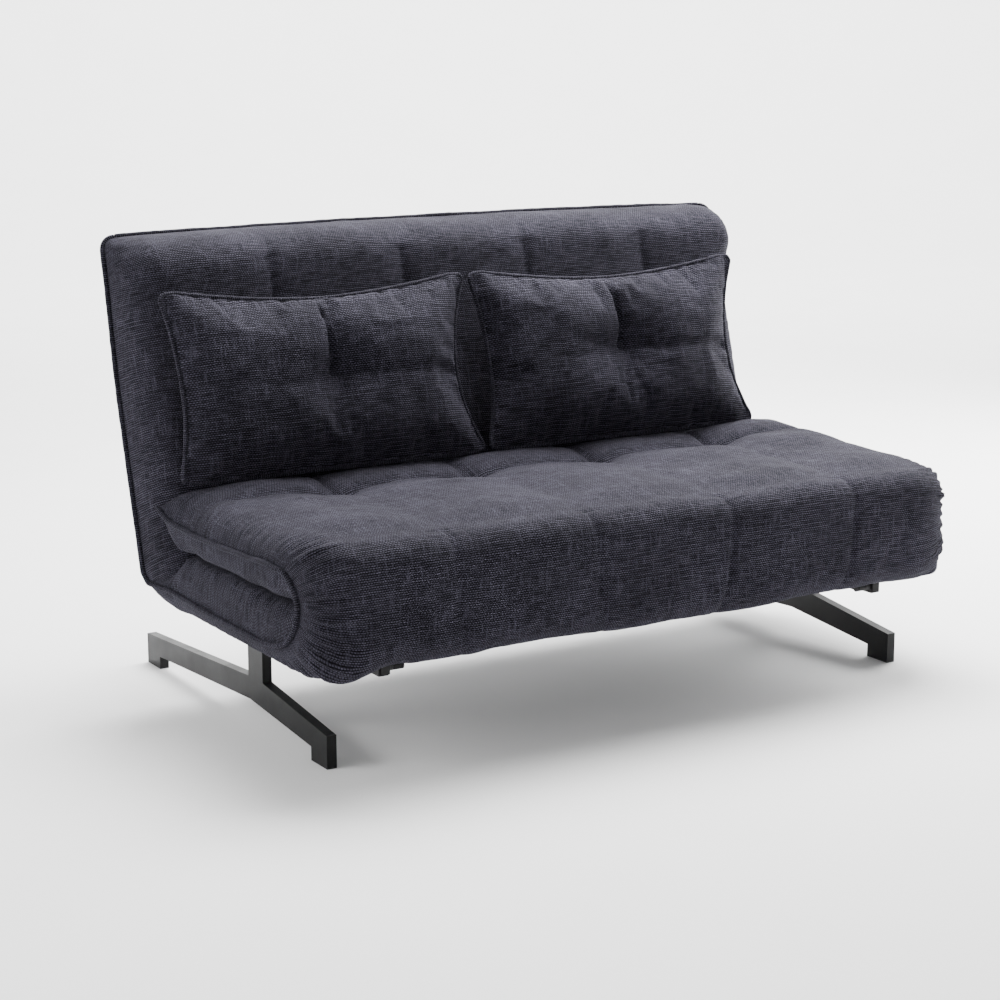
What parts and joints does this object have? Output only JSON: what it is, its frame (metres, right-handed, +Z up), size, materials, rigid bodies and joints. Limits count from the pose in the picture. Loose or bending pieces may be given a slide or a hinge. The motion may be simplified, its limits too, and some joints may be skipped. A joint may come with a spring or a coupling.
{
  "type": "futon sofa bed",
  "caption": "Armless futon sofa bed: tufted seat folded over a soft front roll, leaning back, loose button-tufted pillows and black steel side feet.",
  "frame": {"origin": "on the floor, under the middle of the sofa's bounding box", "axes": "+X across the sofa to the sitter's left hand when seated, -Y is the front, +Z up"},
  "size_m": [1.54, 0.95, 0.9267],
  "materials": {
    "chenille": "matte woven chenille",
    "foam": "open-cell foam",
    "dust_cloth": "matte non-woven cloth",
    "black_steel": "satin powder coat",
    "plated_steel": "zinc plated",
    "slat_wood": "lacquered birch",
    "black_plastic": "matte"
  },
  "bodies": {
    "lower_section": {"left_foot": "black_steel", "right_foot": "black_steel", "foot_brackets": "black_steel", "foot_bolts": "plated_steel", "floor_glides": "black_plastic", "lower_frame": "black_steel", "lower_slats": "slat_wood", "lower_slat_holders": "black_plastic", "lower_foam": "foam", "lower_inner_cover": "chenille", "lower_dust_cover": "dust_cloth", "left_hinge_bracket": "plated_steel", "right_hinge_bracket": "plated_steel", "back_hinge_pins": "plated_steel", "left_fold_bracket": "plated_steel", "right_fold_bracket": "plated_steel", "lower_fold_pins": "plated_steel", "left_runner_channel": "black_steel", "right_runner_channel": "black_steel"},
    "back_section": {"back_frame": "black_steel", "back_webbing": "dust_cloth", "back_foam": "foam", "back_inner_cover": "chenille", "back_outer_cover": "chenille", "left_hinge_disc": "plated_steel", "right_hinge_disc": "plated_steel"},
    "front_roll": {"left_link_arm": "plated_steel", "right_link_arm": "plated_steel", "upper_fold_pins": "plated_steel", "roll_foam": "foam", "roll_cover": "chenille"},
    "upper_section": {"upper_frame": "black_steel", "upper_slats": "slat_wood", "upper_slat_holders": "black_plastic", "upper_foam": "foam", "upper_inner_cover": "chenille", "upper_outer_cover": "chenille", "left_upper_bracket": "plated_steel", "right_upper_bracket": "plated_steel"},
    "bed_support": {"left_runner": "black_steel", "right_runner": "black_steel", "runner_crossbar": "black_steel", "runner_caps": "black_plastic", "bow_pins": "plated_steel", "bow_spacers": "black_plastic"},
    "support_bow": {"bow_arms": "black_steel", "bow_crossbar": "black_steel", "bow_glides": "black_plastic"},
    "left_loose_pillow": {"left_pillow": "chenille", "left_pillow_button": "chenille"},
    "right_loose_pillow": {"right_pillow": "chenille", "right_pillow_button": "chenille"}
  },
  "joints": [
    {"name": "back_recline", "type": "hinge", "parent": "lower_section", "child": "back_section", "pos_m": [0, 0.182, 0.261], "axis": [-1, 0, 0], "range_deg": [0, 74.3]},
    {"name": "front_fold", "type": "hinge", "parent": "lower_section", "child": "front_roll", "pos_m": [0, -0.417, 0.261], "axis": [1, 0, 0], "range_deg": [0, 90], "deforming": ["roll_foam", "roll_cover", "left_pillow", "left_pillow_button", "right_pillow", "right_pillow_button"]},
    {"name": "seat_fold", "type": "hinge", "parent": "front_roll", "child": "upper_section", "pos_m": [0, -0.417, 0.383], "axis": [1, 0, 0], "range_deg": [0, 90]},
    {"name": "support_slide", "type": "slide", "parent": "lower_section", "child": "bed_support", "axis": [0, -1, 0], "range_m": [0, 0.44]},
    {"name": "bow_swing", "type": "hinge", "parent": "bed_support", "child": "support_bow", "pos_m": [0, -0.392, 0.189], "axis": [-1, 0, 0], "range_deg": [0, 90]},
    {"name": "left_pillow_tip", "type": "hinge", "parent": "back_section", "child": "left_loose_pillow", "pos_m": [-0.397, 0.0445, 0.4555], "axis": [1, 0, 0], "range_deg": [0, 105]},
    {"name": "right_pillow_tip", "type": "hinge", "parent": "back_section", "child": "right_loose_pillow", "pos_m": [0.303, 0.0445, 0.4555], "axis": [1, 0, 0], "range_deg": [0, 105]}
  ],
  "couplings": [
    {"joint": "seat_fold", "follows": "front_fold", "ratio": 1}
  ]
}
